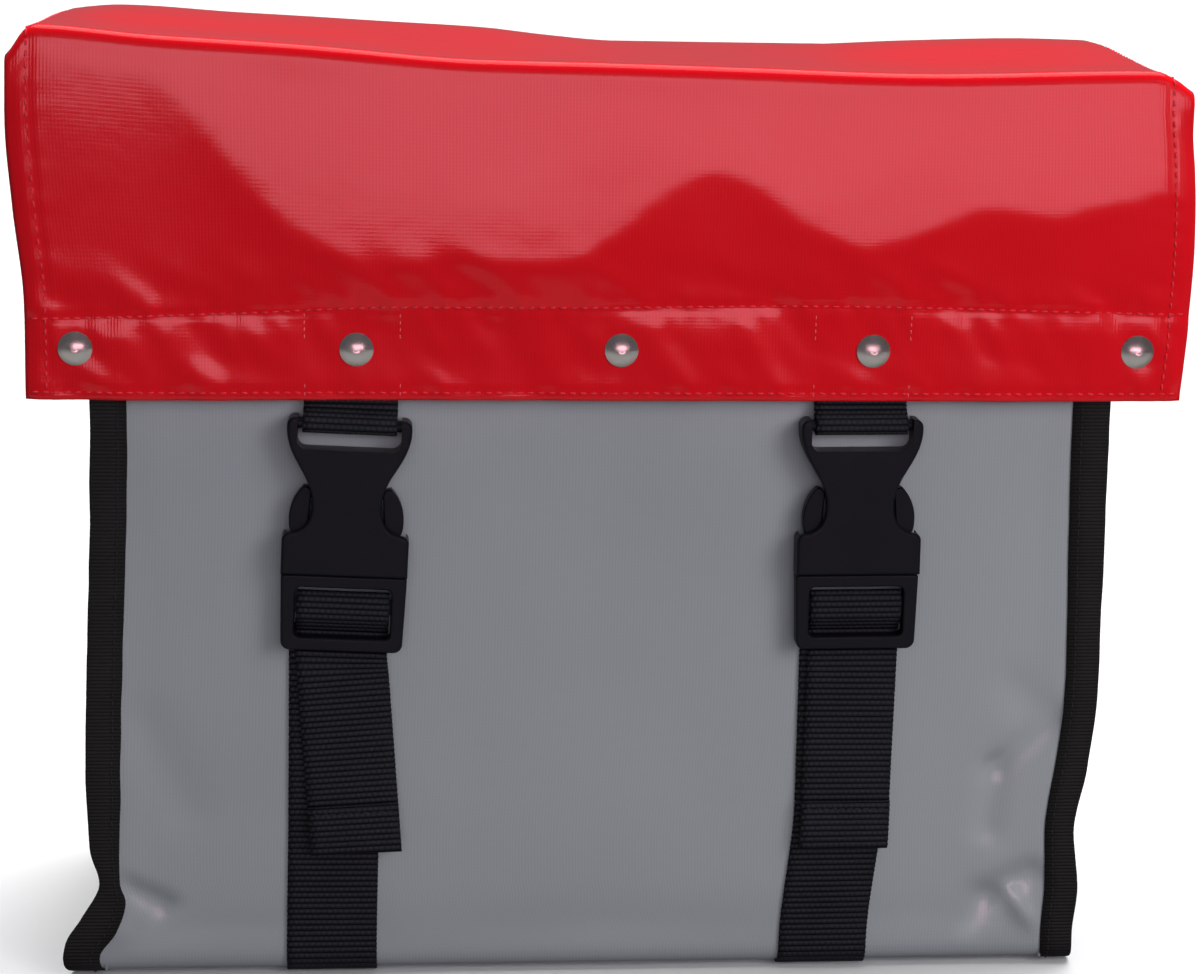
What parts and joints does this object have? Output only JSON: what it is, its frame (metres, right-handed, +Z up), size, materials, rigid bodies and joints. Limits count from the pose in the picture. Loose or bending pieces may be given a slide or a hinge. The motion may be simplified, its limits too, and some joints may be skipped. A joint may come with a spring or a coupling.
{
  "type": "pannier bag",
  "caption": "Bicycle pannier bag of coated fabric, with an overhanging lid held down by two side-release buckles, bound seams and rack hooks on its back.",
  "frame": {"origin": "on the ground, below the middle of the bag's whole box", "axes": "+X to the right seen from the front, the front faces -Y, +Z up"},
  "size_m": [0.5, 0.2106, 0.409],
  "materials": {
    "grey_coated_fabric": "satin-gloss PVC-coated polyester, fine weave showing through",
    "red_coated_fabric": "high-gloss PVC-coated polyester, fine weave showing through",
    "black_binding_tape": "ribbed grosgrain tape",
    "black_webbing": "ribbed polypropylene webbing",
    "black_buckle_plastic": "moulded acetal, finely textured",
    "nickel_rivets": "polished nickel plate",
    "board_plastic": "smooth polyethylene board",
    "hook_plastic": "moulded glass-filled nylon",
    "aluminium_plates": "mill finish"
  },
  "bodies": {
    "bag": {"body_sheet": "grey_coated_fabric", "side_panel_left": "grey_coated_fabric", "side_panel_right": "grey_coated_fabric", "binding_tape_left": "black_binding_tape", "binding_tape_right": "black_binding_tape", "back_board": "board_plastic", "base_board": "board_plastic", "rack_hook_left": "hook_plastic", "rack_hook_right": "hook_plastic", "hook_backing_plate_left": "aluminium_plates", "hook_backing_plate_right": "aluminium_plates", "hook_rivets": "aluminium_plates", "lid_hinge_tab": "red_coated_fabric", "lower_strap_left": "black_webbing", "lower_strap_right": "black_webbing"},
    "lid_top": {"lid_top_panel": "red_coated_fabric"},
    "lid_front": {"lid_front_panel": "red_coated_fabric", "lid_hem_strip": "red_coated_fabric", "rivet_caps": "nickel_rivets", "rivet_washers": "nickel_rivets", "upper_strap_anchor_left": "black_webbing", "upper_strap_anchor_right": "black_webbing"},
    "socket_left": {"buckle_socket_left": "black_buckle_plastic", "upper_strap_left": "black_webbing"},
    "plug_left": {"buckle_plug_left": "black_buckle_plastic", "strap_loop_left": "black_webbing"},
    "prong_a_left": {"plug_prong_a_left": "black_buckle_plastic"},
    "prong_b_left": {"plug_prong_b_left": "black_buckle_plastic"},
    "tail_left": {"strap_tail_left": "black_webbing"},
    "socket_right": {"buckle_socket_right": "black_buckle_plastic", "upper_strap_right": "black_webbing"},
    "plug_right": {"buckle_plug_right": "black_buckle_plastic", "strap_loop_right": "black_webbing"},
    "prong_a_right": {"plug_prong_a_right": "black_buckle_plastic"},
    "prong_b_right": {"plug_prong_b_right": "black_buckle_plastic"},
    "tail_right": {"strap_tail_right": "black_webbing"}
  },
  "joints": [
    {"name": "lid_open", "type": "hinge", "parent": "bag", "child": "lid_top", "pos_m": [0, 0.0829, 0.4084], "axis": [-1, 0, 0], "range_deg": [0, 110]},
    {"name": "lid_front_fold", "type": "hinge", "parent": "lid_top", "child": "lid_front", "pos_m": [0, -0.0933, 0.402], "axis": [-1, 0, 0], "range_deg": [-40, 5]},
    {"name": "left_strap_hang", "type": "hinge", "parent": "lid_front", "child": "socket_left", "pos_m": [-0.1105, -0.0964, 0.262], "axis": [-1, 0, 0], "range_deg": [-70, 5]},
    {"name": "left_plug_slide", "type": "slide", "parent": "bag", "child": "plug_left", "axis": [-0.0436, 0, -0.999], "range_m": [0, 0.04]},
    {"name": "left_prong_a_squeeze", "type": "hinge", "parent": "plug_left", "child": "prong_a_left", "pos_m": [-0.13311, -0.0996, 0.19112], "axis": [0, 1, 0], "range_deg": [0, 7], "stiffness_Nm_per_rad": 0.6},
    {"name": "left_prong_b_squeeze", "type": "hinge", "parent": "plug_left", "child": "prong_b_left", "pos_m": [-0.09415, -0.0996, 0.18942], "axis": [0, -1, 0], "range_deg": [0, 7], "stiffness_Nm_per_rad": 0.6},
    {"name": "left_tail_swing", "type": "hinge", "parent": "plug_left", "child": "tail_left", "pos_m": [-0.11532, -0.09525, 0.15171], "axis": [-0.999, 0, 0.0436], "range_deg": [0, 85]},
    {"name": "right_strap_hang", "type": "hinge", "parent": "lid_front", "child": "socket_right", "pos_m": [0.11, -0.0964, 0.262], "axis": [-1, 0, 0], "range_deg": [-70, 5]},
    {"name": "right_plug_slide", "type": "slide", "parent": "bag", "child": "plug_right", "axis": [0.007, 0, -1], "range_m": [0, 0.04]},
    {"name": "right_prong_a_squeeze", "type": "hinge", "parent": "plug_right", "child": "prong_a_right", "pos_m": [0.091, -0.0996, 0.19007], "axis": [0, 1, 0], "range_deg": [0, 7], "stiffness_Nm_per_rad": 0.6},
    {"name": "right_prong_b_squeeze", "type": "hinge", "parent": "plug_right", "child": "prong_b_right", "pos_m": [0.13, -0.0996, 0.19034], "axis": [0, -1, 0], "range_deg": [0, 7], "stiffness_Nm_per_rad": 0.6},
    {"name": "right_tail_swing", "type": "hinge", "parent": "plug_right", "child": "tail_right", "pos_m": [0.11077, -0.09525, 0.1516], "axis": [-1, 0, -0.007], "range_deg": [0, 85]}
  ],
  "couplings": [
    {"joint": "lid_front_fold", "follows": "lid_open", "ratio": -0.28},
    {"joint": "left_strap_hang", "follows": "lid_open", "ratio": -0.62},
    {"joint": "left_prong_b_squeeze", "follows": "left_prong_a_squeeze", "ratio": 1},
    {"joint": "right_strap_hang", "follows": "lid_open", "ratio": -0.62},
    {"joint": "right_prong_b_squeeze", "follows": "right_prong_a_squeeze", "ratio": 1}
  ]
}
